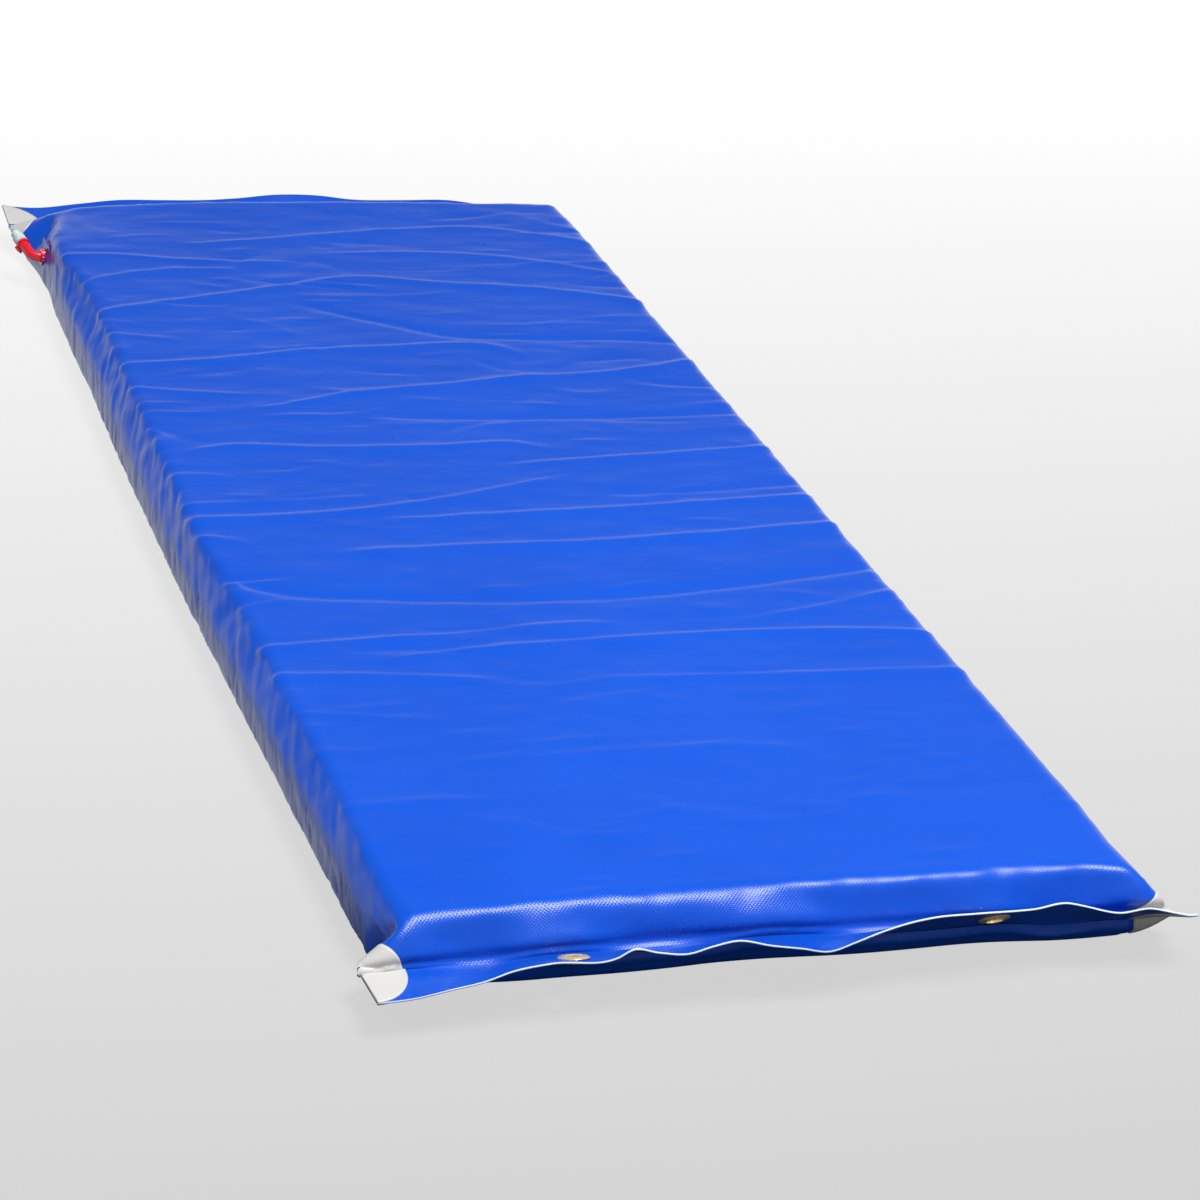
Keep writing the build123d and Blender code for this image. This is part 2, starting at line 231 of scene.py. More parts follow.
def settle(p, row, column, steps, gravity, bend=0.01, damp=0.95, shear=0.5):
    """Position-based cloth: stretch, shear, bending, gravity, foam and floor contact."""
    nr, nc = p.shape[0] - 1, p.shape[1]
    inv = np.ones((nr + 1, nc), np.float32)
    inv[0] = inv[-1] = 0
    diagonal = math.hypot(row, column)
    speed = np.zeros_like(p)
    everything = slice(None)
    inner = slice(1, -1)
    for _ in range(steps):
        before = p.copy()
        p = p + speed
        p[1:-1, :, 2] -= gravity
        for o in (0, 1):
            near, far = slice(o, nr, 2), slice(o + 1, nr + 1, 2)
            pull(p, (near, everything), (far, everything), row, inv)
        for turn in (-1, 1):
            pull(p, (inner, slice(0, nc, 2)), (inner, slice(1, nc, 2)), column, inv)
            p = np.roll(p, turn, 1)
        for sign in (1, -1):
            for o in (0, 1):
                a, b = slice(o, nr, 2), slice(o + 1, nr + 1, 2)
                pa, pb = p[a], np.roll(p[b], -sign, 1)
                d = pb - pa
                size = np.sqrt((d * d).sum(-1))
                wa, wb = inv[a], inv[b]
                f = (size - diagonal) / size * shear / (wa + wb + 1e-6)
                d *= f[..., None]
                p[a] = pa + d * wa[..., None]
                p[b] = np.roll(pb - d * wb[..., None], sign, 1)
        lap = spread_out(p)
        lap[0] = lap[-1] = 0
        p -= bend * spread_out(lap) * inv[..., None]
        p = out_of_foam(p)
        p[..., 2] = np.maximum(p[..., 2], 0)
        p[0], p[-1] = before[0], before[-1]
        speed = (p - before) * damp
        fast = np.sqrt((speed * speed).sum(-1, keepdims=True))
        speed *= np.minimum(1, 1.0 / np.maximum(fast, 1e-6))
    return p


def finer(p):
    """Twice the rows and columns, by cubic interpolation."""
    ends = np.concatenate([2 * p[:1] - p[1:2], p, 2 * p[-1:] - p[-2:-1]], 0)
    mid = (-ends[:-3] + 9 * ends[1:-2] + 9 * ends[2:-1] - ends[3:]) / 16
    r = np.empty((2 * p.shape[0] - 1,) + p.shape[1:], p.dtype)
    r[::2], r[1::2] = p, mid
    mid = (-np.roll(r, 1, 1) + 9 * r + 9 * np.roll(r, -1, 1) - np.roll(r, -2, 1)) / 16
    out = np.empty((r.shape[0], 2 * r.shape[1], 3), p.dtype)
    out[:, ::2], out[:, 1::2] = r, mid
    return out


SLACK = 0.002  # share of extra cloth along the mat
STEPS = ((260, 220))  # coarse, then fine
GRAVITY = (0.004, 0.003)  # fall per step squared (mm)
JITTER = 1.5  # first unevenness (mm)

cloth, row, column = cover_start(140, 168, SLACK)
noise = rng.normal(size=cloth.shape[:2]).astype(np.float32)
for _ in range(4):
    noise = (noise + np.roll(noise, 1, 1) + np.roll(noise, -1, 1)) / 3
cloth[1:-1, :, 1] += noise[1:-1] * JITTER
cloth = settle(cloth, row, column, STEPS[0], GRAVITY[0])
cloth = finer(cloth)
cloth = settle(cloth, row / 2, column / 2, STEPS[1], GRAVITY[1])
ROWS, COLS = cloth.shape[0] - 1, cloth.shape[1]


def sample(s, v):
    """Points of the settled cloth at s mm round the tube and v rows along, by cubics."""
    u = (s / TUBE * COLS)[None, :]
    v = v[:, None]
    iu, iv = np.floor(u).astype(int), np.clip(np.floor(v).astype(int), 0, ROWS - 1)
    fu, fv = u - iu, v - iv

    def weights(t):
        return (
            -t / 3 + t * t / 2 - t**3 / 6, 1 - t / 2 - t * t + t**3 / 2,
            t + t * t / 2 - t**3 / 2, -t / 6 + t**3 / 6,
        )

    padded = np.concatenate([2 * cloth[:1] - cloth[1:2], cloth, 2 * cloth[-1:] - cloth[-2:-1]])
    out = 0
    for a, wa in zip(range(4), weights(fv)):
        for b, wb in zip(range(-1, 3), weights(fu)):
            rows_ = np.clip(iv + a, 0, ROWS + 2)
            out = out + (wa * wb)[..., None] * padded[rows_, (iu + b) % COLS]
    return out


# ------------------------------------------------------------------ wrinkles
# Ridges on the top: height (below 0 for a groove), half width, waypoints (x, y) in mm.
RIDGES = [
    (1.4, 9, [(-221, 770), (-101, 790), (19, 812), (139, 830), (219, 835), (319, 805), (385, 770)]),
    (0.7, 8, [(-331, 790), (-261, 810), (-181, 808)]),
    (1.5, 8, [(-385, 738), (-301, 736), (-231, 718), (-151, 708), (-51, 704)]),
    (1.2, 8, [(-41, 735), (79, 738), (159, 735), (259, 710), (340, 670), (385, 645)]),
    (1.0, 8, [(-371, 640), (-310, 665), (-261, 678), (-121, 678)]),
    (2.0, 10, [
        (-385, 532), (-251, 570), (-121, 610), (14, 645),
        (99, 626), (259, 595), (385, 548),
    ]),
    (-0.7, 6, [(-51, 725), (-20, 690), (14, 648)]),
    (-1.7, 9, [(-121, 565), (-41, 512), (30, 465), (70, 438), (159, 425), (319, 415), (385, 400)]),
    (1.7, 9, [
        (-385, 358), (-251, 370), (-101, 397), (-21, 402),
        (139, 390), (155, 370), (170, 345),
    ]),
    (1.9, 9, [
        (-261, 205), (-181, 228), (-101, 255), (19, 275),
        (139, 295), (249, 305), (385, 347),
    ]),
    (-1.0, 6, [(70, 378), (100, 340), (129, 305)]),
    (-1.1, 7, [(249, 303), (299, 268), (385, 252)]),
    (-1.4, 8, [(-121, 185), (19, 170), (179, 165), (385, 170)]),
    (1.5, 8, [(-361, 85), (-311, 104), (-181, 95), (-41, 90), (79, 88), (109, 62)]),
    (1.4, 8, [(9, 30), (179, 45), (385, 66)]),
    (1.0, 6, [(-375, 462), (-311, 446), (-261, 426)]),
    (0.9, 6, [(-375, 287), (-281, 265), (-201, 255)]),
    (0.7, 6, [(-371, 210), (-321, 206), (-271, 205)]),
    (-0.9, 7, [(-371, 170), (-340, 130), (-305, 108)]),
    (0.7, 6, [(-375, 30), (-331, 26), (-291, 12)]),
    (0.6, 7, [(99, 475), (219, 475), (269, 490), (385, 496)]),
    (0.6, 7, [(-231, 530), (-151, 480), (-101, 420)]),
    (0.6, 7, [(40, 680), (140, 678), (250, 690), (385, 700)]),
    (0.6, 7, [(-121, 590), (0, 578), (100, 585), (160, 600)]),
    (0.7, 7, [(259, 255), (200, 240), (150, 262), (110, 270)]),
    (0.8, 8, [(-371, -52), (-261, -52), (-121, -42)]),
    (1.4, 9, [(-380, -90), (-231, -88), (-121, -70), (19, -30), (119, 5)]),
    (1.5, 9, [(-191, -112), (-41, -106), (179, -95), (385, -78)]),
    (-0.8, 7, [(99, -60), (219, -60), (385, -46)]),
    (1.9, 10, [(-251, -192), (-121, -186), (39, -186), (199, -177), (385, -156)]),
    (1.1, 6, [(-380, -135), (-350, -146), (-321, -168)]),
    (-2.0, 10, [
        (-380, -235), (-331, -280), (-231, -304), (-101, -322),
        (49, -325), (179, -313), (319, -288), (385, -276),
    ]),
    (0.7, 6, [(-375, -312), (-340, -306), (-305, -296)]),
    (1.4, 9, [(-385, -410), (-261, -402), (-141, -398), (-51, -386), (60, -392)]),
    (1.1, 7, [(164, -396), (259, -375), (385, -333)]),
    (1.5, 9, [(-271, -450), (-141, -435), (19, -425), (179, -423), (319, -433), (385, -445)]),
    (1.1, 8, [(-385, -470), (-281, -480), (-191, -495), (-121, -508)]),
    (1.1, 9, [(-61, -510), (99, -520), (219, -525), (385, -532)]),
    (0.7, 7, [(-371, -553), (-281, -572), (-191, -588)]),
    (0.6, 8, [(-131, -570), (-41, -552), (49, -542)]),
    (0.6, 7, [(-231, -640), (-141, -640), (-21, -634)]),
    (0.8, 12, [(-191, -672), (-51, -666), (39, -668), (159, -682)]),
    (0.5, 5, [(159, -652), (229, -652)]),
    (0.5, 5, [(199, -695), (269, -695)]),
    (0.6, 8, [(-381, -742), (-281, -742), (-181, -752)]),
    (0.5, 9, [(-101, -762), (0, -800), (60, -812)]),
    (0.4, 9, [(-281, -770), (-201, -800), (-151, -840)]),
    (0.7, 7, [(290, 905), (330, 860), (385, 812)]),
    (0.6, 8, [(-340, 905), (-320, 850), (-290, 800)]),
]


def small_wrinkles(count):
    """Short ridges and grooves scattered between the long ones."""
    out = []
    for _ in range(count):
        cx, cy = rng.uniform(-370, 370), rng.uniform(-600, 925)
        length, angle = rng.uniform(50, 190), rng.normal(0, 9)
        if rng.random() < 0.3:
            angle = rng.choice([-1, 1]) * rng.uniform(18, 36)
            length *= 0.55
        dx = length / 2 * math.cos(math.radians(angle))
        dy = length / 2 * math.sin(math.radians(angle))
        sag = rng.normal(0, 0.05) * length
        height = rng.uniform(0.3, 0.85) * rng.choice([-1, 1, 1]) * (0.6 + 0.4 * (cy > -450))
        out.append((
            height, rng.uniform(5.5, 7.5), [(cx - dx, cy - dy), (cx, cy + sag), (cx + dx, cy + dy)]
        ))
    for _ in range(count // 4):
        cx, cy = rng.uniform(-370, 370), rng.uniform(-930, -560)
        length, angle = rng.uniform(35, 130), rng.normal(4, 9)
        dx = length / 2 * math.cos(math.radians(angle))
        dy = length / 2 * math.sin(math.radians(angle))
        out.append((
            rng.uniform(0.3, 0.6), rng.uniform(5.5, 7.0),
            [(cx - dx, cy - dy), (cx, cy), (cx + dx, cy + dy)],
        ))
    return out


def ridge_height(x, y):
    """Height of the ridges above the foam's top, at points on the mat."""
    total = np.zeros_like(x)
    for height, half, way in RIDGES + SMALL:
        px = np.array([q[0] for q in way], float)
        py = np.array([q[1] for q in way], float)
        n = max(8, int(np.hypot(np.diff(px), np.diff(py)).sum() / 12))
        d = np.r_[0, np.cumsum(np.hypot(np.diff(px), np.diff(py)))]
        t = np.linspace(0, d[-1], n)
        lx = curve(list(zip(d, px)), t)
        ly = curve(list(zip(d, py)), t)
        near = (
            (x > lx.min() - 60) & (x < lx.max() + 60) & (y > ly.min() - 60) & (y < ly.max() + 60)
        )
        qx, qy = x[near], y[near]
        best = np.full(qx.shape, 1e9)
        along = np.zeros(qx.shape)
        side = np.zeros(qx.shape)
        for k in range(n - 1):
            ex, ey = lx[k + 1] - lx[k], ly[k + 1] - ly[k]
            size = math.hypot(ex, ey)
            f = np.clip(((qx - lx[k]) * ex + (qy - ly[k]) * ey) / size**2, 0, 1)
            gx, gy = qx - lx[k] - f * ex, qy - ly[k] - f * ey
            gap = np.hypot(gx, gy)
            hit = gap < best
            best[hit] = gap[hit]
            along[hit] = (t[k] + f * size)[hit]
            side[hit] = np.sign(gy)[hit]
        run = min(70, 0.45 * d[-1])
        left = 1.0 if px[0] < -370 else 0.0
        right = 1.0 if px[-1] > 370 else 0.0
        fade = np.maximum(smooth(along / run), left) * np.maximum(
            smooth((d[-1] - along) / run), right
        )
        # steep on the side away from the foot for a ridge, towards it for a groove
        steep = (side > 0) == (height > 0)
        width = np.maximum(np.where(steep, 0.55, 1.6) * half, 4.2)
        total[near] += height * fade / np.cosh(np.minimum(best / width, 12)) ** 2
    return total


def bands(shape_rows, shape_cols, seeds, fine_rows, fine_cols):
    """Smooth noise on a grid, with its own feature length along rows and columns."""
    n = np.random.default_rng(seeds).normal(size=(shape_rows, shape_cols))
    f = np.fft.rfft2(n)
    a = np.fft.fftfreq(shape_rows)[:, None] * fine_rows
    b = np.fft.rfftfreq(shape_cols)[None] * fine_cols
    ring = np.hypot(a, b)
    f *= ring * np.exp(-ring * ring)
    n = np.fft.irfft2(f, s=(shape_rows, shape_cols))
    return n / n.std()


def look_up(field, x, y, x_range, y_range):
    """Values of a field spread over the given ranges, at points (x, y)."""
    u = (x - x_range[0]) / (x_range[1] - x_range[0]) * (field.shape[1] - 1)
    v = (y - y_range[0]) / (y_range[1] - y_range[0]) * (field.shape[0] - 1)
    u, v = np.clip(u, 0, field.shape[1] - 1.001), np.clip(v, 0, field.shape[0] - 1.001)
    i, j = v.astype(int), u.astype(int)
    fv, fu = v - i, u - j
    return (
        field[i, j] * (1 - fv) * (1 - fu) + field[i + 1, j] * fv * (1 - fu)
        + field[i, j + 1] * (1 - fv) * fu + field[i + 1, j + 1] * fv * fu
    )


SMALL = small_wrinkles(150)
# the noise fields' spans over the mat (mm)
X_SPAN, Y_SPAN, Z_SPAN, SEAM_SPAN = (-400, 400), (-1000, 1000), (-60, 140), (-430, 430)
top_fine = bands(1024, 256, 3, 5.5, 18.0)
top_wide = bands(512, 256, 5, 12.0, 34.0)
side_fine = bands(1024, 64, 8, 8.0, 16.0)
side_wide = bands(512, 64, 9, 12.0, 16.0)
end_fine = bands(256, 256, 12, 60.0, 12.0)
side_crisp = bands(2048, 64, 15, 8.0, 20.0)


def creased(field):
    """Rounded hollows between narrow crests, from smooth noise."""
    return 0.5 * field + 0.9 * (0.7 - np.abs(field))


def normals(p):
    """Unit normals of a grid of points, upward in its middle."""
    n = np.cross(np.gradient(p, axis=1), np.gradient(p, axis=0))
    n /= np.linalg.norm(n, axis=-1, keepdims=True) + 1e-9
    return n if n[n.shape[0] // 2, n.shape[1] // 2, 2] > 0 else -n


# share of the height lost at the left and right corners of each end, and gained between
HEAD_DROP, FOOT_DROP, HEAD_RISE = (0.16, 0.03), (0.08, 0.04), 0.035
# how far the left side stands out at half height, and its top edge sits in, along the mat
LEFT_BOW = [
    (-990, 0), (-914, 6), (-825, 8), (-632, 12), (-420, 14), (-184, 16), (80, 15), (224, 14),
    (376, 10), (540, 9), (700, 6), (790, 0), (990, 0),
]
LEFT_EDGE = [
    (-990, 0), (-916, 2), (-780, 4), (-652, 6), (-555, 4), (-412, 3), (-235, 1), (-146, -4),
    (0, -1), (184, 2), (289, 4), (417, 8), (513, 10), (632, 11), (745, 0), (990, 0),
]
RIGHT_BOW = 8.0


def slumped(p):
    """Sides bowed out, and the slab's corners lower than its middle."""
    x, y, z = p[..., 0], p[..., 1], p[..., 2]
    side = smooth((np.abs(x) - 200) / 175)
    low = smooth(z / 18) * (1 - 0.85 * smooth((z - 42) / 34))
    left = curve(LEFT_EDGE, y) * smooth((z - 52) / 22) - curve(LEFT_BOW, y) * low
    right = RIGHT_BOW * smooth(z / 15) * smooth((985 - np.abs(y)) / 25)
    corner = smooth((x + 381) / 762)
    depth = np.where(
        y > 0, HEAD_DROP[0] + (HEAD_DROP[1] - HEAD_DROP[0]) * corner,
        FOOT_DROP[0] + (FOOT_DROP[1] - FOOT_DROP[0]) * corner,
    )
    drop = depth * smooth((np.abs(y) - 780) / 170) * (np.abs(x) / 381) ** 3
    drop -= HEAD_RISE * smooth((y - 820) / 120) * np.cos(np.clip(x / 400, -1, 1) * math.pi / 2)
    q = p.copy()
    q[..., 0] += side * np.where(x < 0, left * smooth((-x - 330) / 40), right)
    pulled = smooth((x - 320) / 55) * smooth((-y - 890) / 55) * smooth((z - 30) / 25)
    q[..., 0] += 6 * pulled
    q[..., 1] -= 13 * pulled
    q[..., 2] *= 1 - drop * smooth(z / 60)
    q[..., 2] = CLOTH + np.maximum(q[..., 2], 0) * (SLAB_H - CLOTH) / SLAB_H
    return q


# displacement heights (mm)
RIDGE_SHARE = 1.3
TOP_FINE, TOP_WIDE = 0.05, 0.22
SIDE_FINE, SIDE_CRISP, SIDE_WIDE = 0.375, 0.165, 0.375
EDGE_LEFT, EDGE_RIGHT = 0.6, 0.25
END_FINE, END_SWEEP = 0.7, 3.8


def shaped(s, v, folded=True):
    """The finished cover at the given columns and rows; folded adds the side walls' folds."""
    p = sample(s, v).astype(float)
    x, y, z = p[..., 0].copy(), p[..., 1].copy(), p[..., 2].copy()
    n = normals(p)
    up = smooth((z - 64) / 14) * smooth((n[..., 2] - 0.3) / 0.5)
    flank = smooth((np.abs(n[..., 0]) - 0.35) / 0.5) * smooth((955 - np.abs(y)) / 40)
    flank *= np.where(x < 0, 1, 0.35)
    inside = smooth((SEAM_Y - np.abs(y)) / 40)
    busy = 0.35 + 0.65 * smooth((y + 720) / 300)
    d = RIDGE_SHARE * ridge_height(x, y) * up
    d += TOP_FINE * busy * look_up(top_fine, x, y + 0.12 * x, X_SPAN, Y_SPAN) * up
    d += TOP_WIDE * busy * look_up(top_wide, x, y, X_SPAN, Y_SPAN) * up * inside
    # the folds lean towards the head as they rise, more so near the top edge
    slant = np.where(x < 0, y - 0.5 * z - 2.3 * np.maximum(z - 46, 0), y + 0.85 * z)
    if folded:
        d += flank * (
            SIDE_FINE * creased(look_up(side_fine, z, slant, Z_SPAN, Y_SPAN))
            + SIDE_CRISP * creased(look_up(side_crisp, z, slant, Z_SPAN, Y_SPAN))
            + SIDE_WIDE * look_up(side_wide, z, slant, Z_SPAN, Y_SPAN)
        )
    # loose cloth rolls a little where the top meets the sides
    edge = smooth((np.abs(x) - 345) / 30) * smooth((z - 45) / 25) * smooth((930 - np.abs(y)) / 40)
    pucker = look_up(side_wide, 0 * z + 20, y * 0.8, Z_SPAN, Y_SPAN)
    d += np.where(x < 0, EDGE_LEFT, EDGE_RIGHT) * edge * pucker
    # the end walls billow between the top edge and the seam
    wall = smooth((np.abs(y) - 930) / 15) * inside * smooth((z - 8) / 20)
    d += END_FINE * wall * look_up(end_fine, x, z, SEAM_SPAN, Z_SPAN)
    # the cloth sweeps out into the flange
    seam_gap = np.minimum(v, ROWS - v)[:, None] * row / 2
    d -= END_SWEEP * np.exp(-((seam_gap - 8) / 6) ** 2) * (n[..., 2] > 0)
    p += n * d[..., None]
    return slumped(p), n


# ------------------------------------------------------------------ meshes
def mesh_piece(name, verts, faces, uv=None, material_index=None):
    """Object from numpy points in mm and quads, smooth shaded."""
    verts = np.asarray(verts, float).reshape(-1, 3) / 1000
    faces = np.asarray(faces).reshape(-1, 4)
    mesh = bpy.data.meshes.new(name)
    mesh.vertices.add(len(verts))
    mesh.vertices.foreach_set("co", verts.astype(np.float32).ravel())
    mesh.loops.add(faces.size)
    mesh.loops.foreach_set("vertex_index", faces.astype(np.int32).ravel())
    mesh.polygons.add(len(faces))
    mesh.polygons.foreach_set("loop_start", np.arange(0, faces.size, 4, dtype=np.int32))
    mesh.polygons.foreach_set("loop_total", np.full(len(faces), 4, np.int32))
    if material_index is not None:
        mesh.polygons.foreach_set("material_index", np.asarray(material_index, np.int32))
    mesh.update(calc_edges=True)
    mesh.polygons.foreach_set("use_smooth", np.ones(len(faces), bool))
    if uv is not None:
        layer = mesh.uv_layers.new(name="cloth")
        layer.data.foreach_set(
            "uv", np.asarray(uv, np.float32).reshape(-1, 2)[faces.ravel()].ravel()
        )
    mesh.validate()
    obj = bpy.data.objects.new(name, mesh)
    bpy.context.scene.collection.objects.link(obj)
    return obj


def quads(nr, nc, flip=False, first=0, keep=None):
    i, j = np.meshgrid(np.arange(nr - 1), np.arange(nc - 1), indexing="ij")
    a = i * nc + j + first
    f = np.stack([a, a + 1, a + nc + 1, a + nc], -1)
    if keep is not None:
        f = f[keep]
    f = f.reshape(-1, 4)
    return f[:, ::-1] if flip else f


def even(stops):
    """Columns between stops: each stop is (position, spacing up to the next stop)."""
    out = []
    for (a, step), (b, _) in zip(stops, stops[1:]):
        n = max(1, round((b - a) / step))
        out.extend(a + (b - a) * np.arange(n) / n)
    return np.array(out + [stops[-1][0]])


half_tube = TUBE / 2
coarse = 1.0
top_columns = even([
    (-78, 9 * coarse), (-30, 5 * coarse), (5, 2.5 * coarse), (62, 8 * coarse),
    (half_tube - 60, 6 * coarse),
    (half_tube + 30, 9 * coarse), (half_tube + 78, 9),
])
row_mm = row / 2
end_rows = 80 / row_mm
rows_at = even([
    (0, 2.5 / row_mm * coarse), (end_rows, 3.6 / row_mm * coarse),
    (420 / row_mm, 2.9 / row_mm * coarse), (ROWS - end_rows, 2.5 / row_mm * coarse), (ROWS, 1),
])
top_points, top_normals = shaped(top_columns, rows_at)
uv = np.stack(np.broadcast_arrays(
    top_columns[None, :] / 1000, (rows_at * row_mm)[:, None] / 1000), -1)
cover_top = mesh_piece(
    "cover_top_sheet", top_points, quads(*top_points.shape[:2]), uv.reshape(-1, 2)
)

base_columns = even([(half_tube + 52, 9 * coarse), (TUBE - 52, 9 * coarse)])
base_points, base_normals = shaped(base_columns, rows_at, folded=False)
base_out = -base_normals if base_normals[len(rows_at) // 2, 5, 2] > 0 else base_normals
base_points = base_points + base_out * CLOTH * 0.95
base_points[..., 2] = np.maximum(base_points[..., 2], 0.0)
uv = np.stack(np.broadcast_arrays(
    base_columns[None, :] / 1000, (rows_at * row_mm)[:, None] / 1000), -1)
cover_base = mesh_piece(
    "cover_base_sheet", base_points, quads(*base_points.shape[:2]), uv.reshape(-1, 2)
)


def flange_points(end, x, t, height):
    """Points at t mm out from the seam and at a height off the flange's middle."""
    root, out, up = flange_frame(end, x)
    return root[None] + out[None] * t[:, None, None] + up[None] * height


EYELET_X = 215.0
EYELET_OUT = 24.0
HOLE_R = 12.0


def flange(name, end):
    """Both cloth layers of a flange, welded at the seam, with a pale cut edge all round."""
    left, right = TIPS[end]
    x = even([(left, 4), (-EYELET_X - 20, 2), (-EYELET_X + 20, 4),
              (EYELET_X - 20, 2), (EYELET_X + 20, 4), (right, 4)])
    t = even([(-WELD - 3.0, 2.0), (FLANGE, 2.0)])
    top = flange_points(end, x, t, CLOTH)
    low = flange_points(end, x, t, -CLOTH)
    mid_x, mid_t = (x[1:] + x[:-1]) / 2, (t[1:] + t[:-1]) / 2
    hole = np.hypot(
        np.abs(mid_x)[None, :] - EYELET_X, mid_t[:, None] - EYELET_OUT
    ) < HOLE_R
    keep = ~hole
    nr, nc = len(t), len(x)
    count = nr * nc
    flip = end < 0
    faces = [quads(nr, nc, not flip, 0, keep), quads(nr, nc, flip, count, keep)]
    index = [np.zeros(keep.sum(), int)] * 2
    padded = np.pad(keep, 1)
    walls = []
    for di, dj, a, b in (
        (-1, 0, (0, 0), (0, 1)), (1, 0, (1, 1), (1, 0)),
        (0, -1, (1, 0), (0, 0)), (0, 1, (0, 1), (1, 1)),
    ):
        near = padded[1 + di:nr + di, 1 + dj:nc + dj]
        i, j = np.nonzero(keep & ~near)
        va = (i + a[0]) * nc + j + a[1]
        vb = (i + b[0]) * nc + j + b[1]
        walls.append(np.stack([va, vb, vb + count, va + count], -1))
    walls = np.concatenate(walls)
    if flip:
        walls = walls[:, ::-1]
    faces.append(walls)
    index.append(np.ones(len(walls), int))
    uv_grid = np.stack(np.broadcast_arrays(x[None] / 1000, t[:, None] / 1000), -1).reshape(-1, 2)
    return mesh_piece(
        name, np.concatenate([top.reshape(-1, 3), low.reshape(-1, 3)]),
        np.concatenate(faces), np.concatenate([uv_grid, uv_grid]), np.concatenate(index),
    )


foot_flange = flange("foot_flange", -1)
head_flange = flange("head_flange", 1)


def closed_sheet(name, outer, inner):
    """Thin closed piece between two matching grids of points."""
    nr, nc = outer.shape[:2]
    count = nr * nc
    ring = np.concatenate([
        np.arange(nc), np.arange(2, nr + 1) * nc - 1,
        (nr - 1) * nc + np.arange(nc - 2, -1, -1), np.arange(nr - 2, 0, -1) * nc,
    ])
    nxt = np.roll(ring, -1)
    walls = np.stack([nxt, ring, ring + count, nxt + count], -1)
    faces = np.concatenate([quads(nr, nc), quads(nr, nc, True, count), walls])
    return mesh_piece(name, np.concatenate([outer.reshape(-1, 3), inner.reshape(-1, 3)]), faces)


def disc_grid(radius, n, start, stop):
    """Polar grid: rings by spokes, as (across, inward) offsets."""
    r = np.linspace(0.02, 1, n) * radius
    a = np.linspace(start, stop, 3 * n)
    return r[:, None] * np.cos(a)[None], r[:, None] * np.sin(a)[None]


def surface_at(s, v):
    """The cover surface and its normals at scattered places, from the top sheet's grid."""
    u = np.interp(s, top_columns, np.arange(len(top_columns)))
    w = np.interp(v, rows_at, np.arange(len(rows_at)))
    j = np.clip(u.astype(int), 0, len(top_columns) - 2)
    i = np.clip(w.astype(int), 0, len(rows_at) - 2)
    fu, fw = (u - j)[..., None], (w - i)[..., None]

    def mix(g):
        return (
            g[i, j] * (1 - fw) * (1 - fu) + g[i + 1, j] * fw * (1 - fu)
            + g[i, j + 1] * (1 - fw) * fu + g[i + 1, j + 1] * fw * fu
        )

    return mix(top_points), mix(top_normals)


PATCH_R = 46.0


def patch(name, side, end):
    """Folded round patch: one lobe round the body's corner, one over the flange's end."""
    fold = 0.0 if side < 0 else half_tube
    radius = PATCH_R - 5 if (side, end) == (-1, -1) else PATCH_R
    across, inward = disc_grid(radius, 16, 0, math.pi)
    s = fold - side * across
    v = inward / row_mm
    v = v if end < 0 else ROWS - v
    p, n = surface_at(s, v)
    outer = p + n * 1.1
    inner = p - n * 0.4
    body_lobe = closed_sheet(name, outer, inner)
    across, out = disc_grid(radius, 16, 0, math.pi / 2)
    x = TIPS[end][(side + 1) // 2] - side * across
    shape = x.shape
    lobes = []
    for height, up_side in ((CLOTH, 1), (-CLOTH, -1)):
        root, direction, up = flange_frame(end, x.ravel())
        t = out.ravel()[:, None] * (FLANGE + WELD) / radius - WELD
        base = root + direction * t + up * height
        a = (base + up * up_side * 0.9).reshape(*shape, 3)
        b = (base - up * up_side * 0.3).reshape(*shape, 3)
        lobes.append(closed_sheet(name + "_lobe", a, b))
    bpy.ops.object.select_all(action="DESELECT")
    for o in [body_lobe, *lobes]:
        o.select_set(True)
    bpy.context.view_layer.objects.active = body_lobe
    bpy.ops.object.join()
    return body_lobe


patches = {
    f"{e}_{d}_patch": patch(f"{e}_{d}_corner_patch", side, end)
    for e, end in (("foot", -1), ("head", 1))
    for d, side in (("left", -1), ("right", 1))
}


# foam, kept just inside the cover
FOAM_GAP = 3.5


def foam_block():
    """Closed foam slab: rings of its outline, drawn in and rounded at both ends."""
    outline = slab_outline(200)
    outline = outline - np.array([0, SLAB_H / 2])
    turn = np.linspace(0, math.pi / 2, 7)
    radius = 14.0
    end_y = FOAM_END - 2.0 - FOAM_GAP
    rings = [(end_y, radius + 12), (end_y, radius + 4)]
    rings += [(end_y - radius + radius * math.cos(a), radius * (1 - math.sin(a))) for a in turn]
    half = rings + [(y, 0.0) for y in np.arange(end_y - radius - 20, 0, -20.0)]
    profile = [(-y, inset) for y, inset in half] + [(y, inset) for y, inset in half[::-1]]
    points = []
    for y, inset in profile:
        size = np.array([SLAB_W / 2, SLAB_H / 2])
        fit = (size - FOAM_GAP - inset) / size
        wide = foam_half_width(outline[:, 0], np.full(len(outline), y)) / size[0]
        points.append(np.column_stack([
            outline[:, 0] * fit[0] * wide, np.full(len(outline), y),
            SLAB_H / 2 + outline[:, 1] * fit[1],
        ]))
    return slumped(np.array(points))


